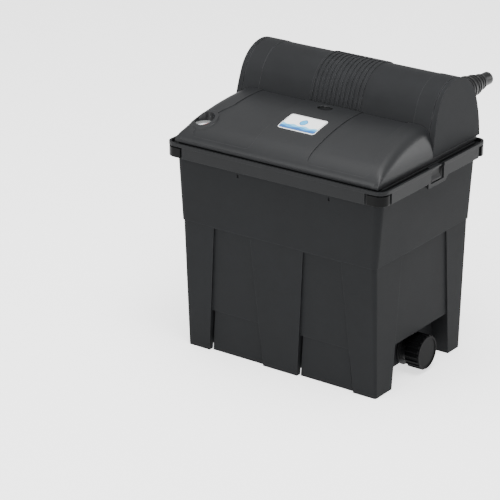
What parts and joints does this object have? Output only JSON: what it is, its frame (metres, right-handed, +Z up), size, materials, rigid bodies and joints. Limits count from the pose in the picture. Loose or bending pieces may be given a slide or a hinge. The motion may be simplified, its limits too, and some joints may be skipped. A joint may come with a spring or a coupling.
{
  "type": "flow-through pond filter",
  "caption": "Box-shaped pond filter with a barrel lid, a ribbed rear hood over a UV clarifier, foam cartridges, side latches, drain cap and rear hose tail.",
  "frame": {"origin": "on the ground, under the middle of the tank", "axes": "+X to the right along the front, +Y to the rear, +Z up"},
  "size_m": [0.38, 0.355, 0.4353],
  "materials": {
    "tank_plastic": "fine-grained moulded plastic, anthracite",
    "collar_plastic": "fine-grained moulded plastic, anthracite",
    "bumper_plastic": "smooth dark plastic",
    "lid_plastic": "fine-grained moulded plastic, anthracite",
    "hood_plastic": "fine-grained moulded plastic, anthracite",
    "dark_plastic": "moulded plastic, near black",
    "grid_plastic": "moulded plastic, grey",
    "blue_plastic": "moulded plastic, blue",
    "rubber": "soft sealing rubber",
    "steel": "stainless steel",
    "blue_foam": "open-cell foam, coarse",
    "red_foam": "open-cell foam, medium",
    "purple_foam": "open-cell foam, fine",
    "label": "printed film, white with a dark outline",
    "dial": "printed dial, white",
    "needle": "red plastic",
    "lens": "clear plastic",
    "quartz": "clear quartz glass",
    "lamp": "lamp glass",
    "ceramic": "white lamp socket"
  },
  "bodies": {
    "tank": {"tank": "tank_plastic", "rim_collar": "collar_plastic", "corner_bumpers": "bumper_plastic", "support_grid": "grid_plastic", "left_partition": "grid_plastic", "right_partition": "grid_plastic", "outlet_pipe": "dark_plastic", "outlet_gasket": "rubber", "outlet_nut": "dark_plastic", "drain_neck": "dark_plastic", "drain_neck_nut": "dark_plastic", "latch_pins": "steel"},
    "drain_gasket": {"drain_gasket": "rubber"},
    "drain_cap": {"drain_cap": "dark_plastic"},
    "right_latch": {"right_latch": "collar_plastic"},
    "left_latch": {"left_latch": "collar_plastic"},
    "coarse_cartridge": {"coarse_foam": "blue_foam", "coarse_holder": "blue_plastic"},
    "medium_cartridge": {"medium_foam": "red_foam", "medium_holder": "blue_plastic"},
    "fine_cartridge": {"fine_foam": "purple_foam", "fine_holder": "blue_plastic"},
    "lid": {"lid": "lid_plastic", "lid_seal": "rubber", "label_plate": "label", "thermometer_dial": "dial", "thermometer_lens": "lens", "thermometer_stem": "steel", "button_spring_seat": "dark_plastic", "uv_housing": "dark_plastic", "quartz_tube": "quartz", "quartz_seal": "rubber", "quartz_clamp": "dark_plastic", "uv_lamp": "lamp", "lamp_socket": "ceramic", "uv_head": "dark_plastic", "cable_gland": "dark_plastic", "gland_nut": "dark_plastic", "housing_screws": "steel", "tail_gasket": "rubber", "hose_tail": "dark_plastic", "inlet_spout": "dark_plastic"},
    "needle": {"thermometer_needle": "needle"},
    "button": {"hood_button": "dark_plastic"},
    "hood": {"hood": "hood_plastic"},
    "locking_ring": {"locking_ring": "dark_plastic"},
    "union_nut": {"union_nut": "dark_plastic"}
  },
  "joints": [
    {"name": "lid_lift", "type": "slide", "parent": "tank", "child": "lid", "axis": [0, 0, 1], "range_m": [0, 0.12]},
    {"name": "hood_lift", "type": "slide", "parent": "lid", "child": "hood", "axis": [0, 0.2241, 0.9746], "range_m": [0, 0.14]},
    {"name": "drain_cap_travel", "type": "slide", "parent": "tank", "child": "drain_gasket", "axis": [1, 0, 0], "range_m": [0, 0.008]},
    {"name": "drain_cap_turn", "type": "hinge", "parent": "drain_gasket", "child": "drain_cap", "pos_m": [0.165, 0.0085, 0.031], "axis": [1, 0, 0], "range_deg": [0, 720]},
    {"name": "right_latch_turn", "type": "hinge", "parent": "tank", "child": "right_latch", "pos_m": [0.1835, 0, 0.303], "axis": [0, 1, 0], "range_deg": [0, 20], "stiffness_Nm_per_rad": 0.02, "springref_deg": -20.05},
    {"name": "left_latch_turn", "type": "hinge", "parent": "tank", "child": "left_latch", "pos_m": [-0.1835, 0, 0.303], "axis": [0, -1, 0], "range_deg": [0, 20], "stiffness_Nm_per_rad": 0.02, "springref_deg": -20.05},
    {"name": "coarse_cartridge_lift", "type": "slide", "parent": "tank", "child": "coarse_cartridge", "axis": [0, 0, 1], "range_m": [0, 0.03]},
    {"name": "medium_cartridge_lift", "type": "slide", "parent": "tank", "child": "medium_cartridge", "axis": [0, 0, 1], "range_m": [0, 0.03]},
    {"name": "fine_cartridge_lift", "type": "slide", "parent": "tank", "child": "fine_cartridge", "axis": [0, 0, 1], "range_m": [0, 0.03]},
    {"name": "thermometer_needle_turn", "type": "hinge", "parent": "lid", "child": "needle", "pos_m": [-0.1515, -0.094, 0.3465], "axis": [0, 0, 1], "range_deg": [-120, 120]},
    {"name": "hood_button_press", "type": "slide", "parent": "lid", "child": "button", "axis": [0, 0, -1], "range_m": [0, 0.003], "stiffness_N_per_m": 600, "springref_m": -0.002},
    {"name": "locking_ring_turn", "type": "hinge", "parent": "lid", "child": "locking_ring", "pos_m": [-0.098, 0.078, 0.38], "axis": [1, 0, 0], "range_deg": [0, 40]},
    {"name": "union_nut_turn", "type": "hinge", "parent": "lid", "child": "union_nut", "pos_m": [0.143, 0.09, 0.394], "axis": [0, -1, 0], "range_deg": [0, 90]}
  ],
  "couplings": [
    {"joint": "drain_cap_travel", "follows": "drain_cap_turn", "m_per_rad": 0.00063662}
  ]
}
